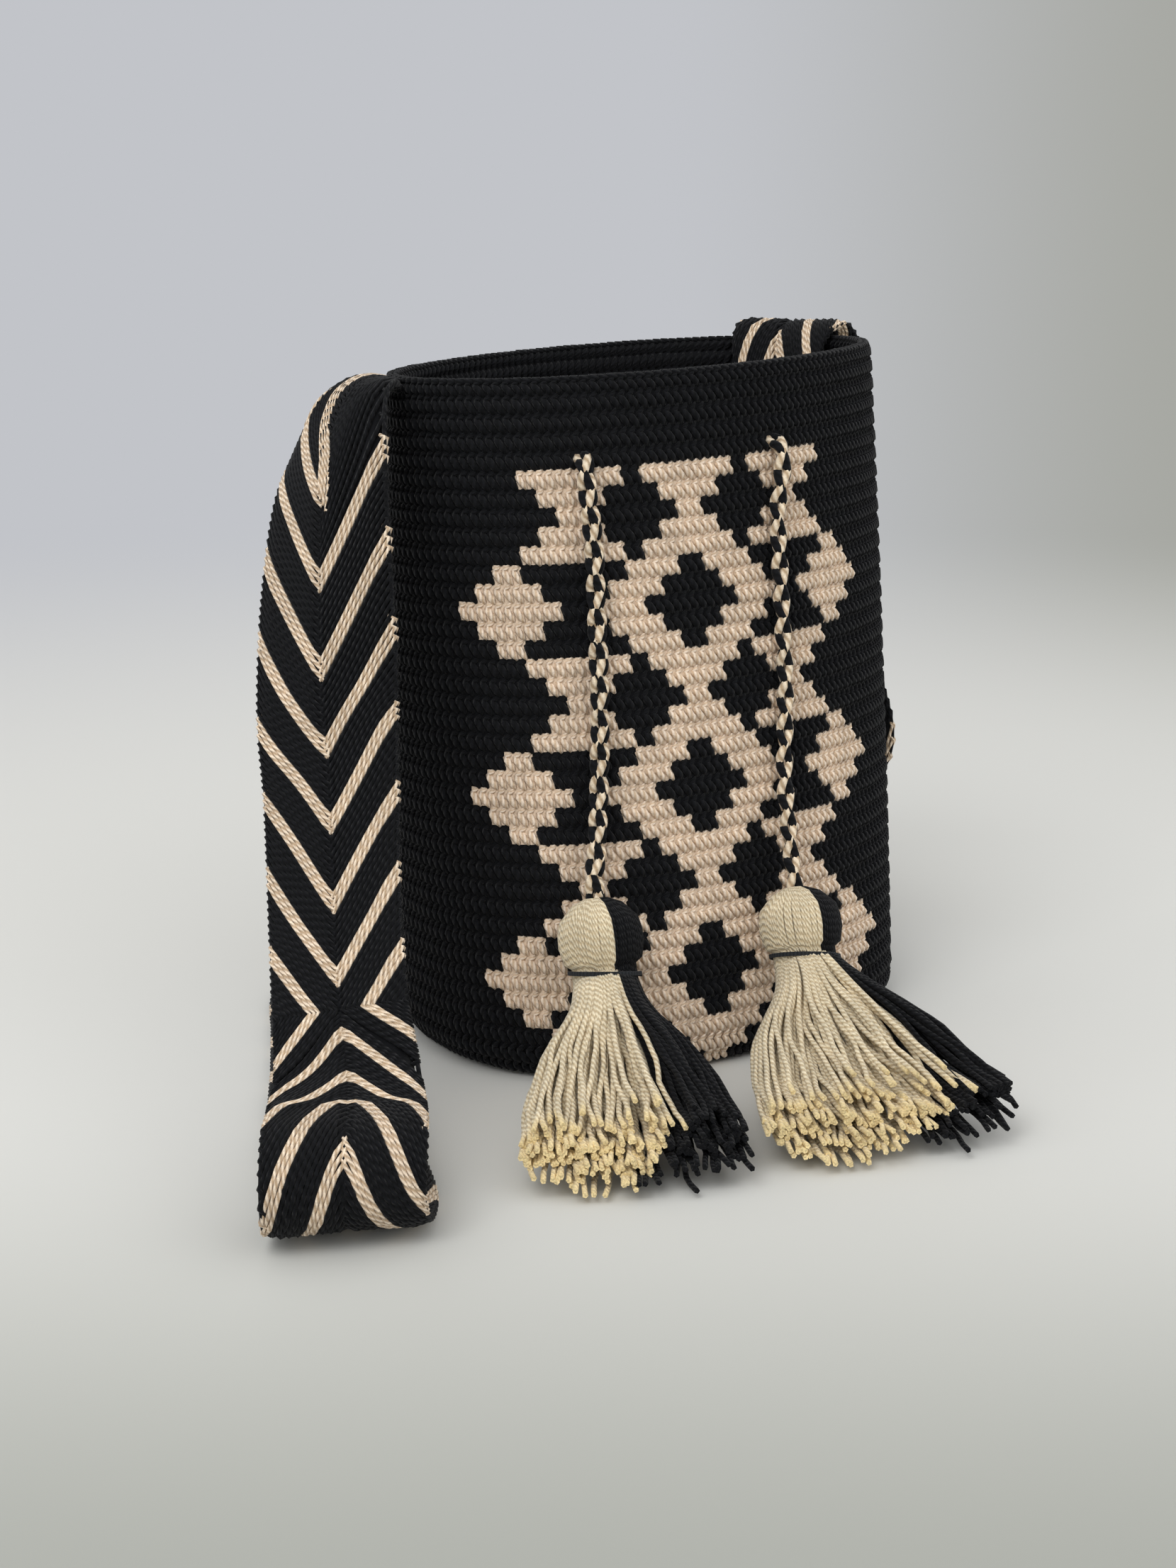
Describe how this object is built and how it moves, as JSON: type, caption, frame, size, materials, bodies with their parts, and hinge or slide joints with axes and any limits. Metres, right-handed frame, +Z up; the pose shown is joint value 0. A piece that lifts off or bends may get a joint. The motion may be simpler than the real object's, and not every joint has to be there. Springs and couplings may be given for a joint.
{
  "type": "mochila bag",
  "caption": "Black crocheted bucket bag with cream stepped diamonds, a plaited shoulder strap, and a braided drawstring with tassels.",
  "frame": {"origin": "centre of the base's underside, on the surface that the bag stands on", "axes": "+Z up towards the mouth, X along the long way across the mouth, the drawstring panel facing -Y"},
  "size_m": [0.3406, 0.3271, 0.2301],
  "materials": {
    "bag_yarn": "plied acrylic yarn in single crochet, black with cream stepped diamonds",
    "strap_yarn": "hand plaited plied yarn, black with cream chevrons",
    "drawstring_yarn": "round braid of black and cream plied yarn",
    "tassel_cream_yarn": "cut plied yarn, slightly glossy cream",
    "tassel_black_yarn": "cut plied yarn, black"
  },
  "bodies": {
    "root": {"bag_body": "bag_yarn", "strap": "strap_yarn", "drawstring_inner_run": "drawstring_yarn", "drawstring_left_end": "drawstring_yarn", "drawstring_right_end": "drawstring_yarn", "tassel_left_cream_yarn": "tassel_cream_yarn", "tassel_left_black_yarn": "tassel_black_yarn", "tassel_left_neck_tie": "tassel_black_yarn", "tassel_right_cream_yarn": "tassel_cream_yarn", "tassel_right_black_yarn": "tassel_black_yarn", "tassel_right_neck_tie": "tassel_black_yarn"}
  },
  "joints": []
}
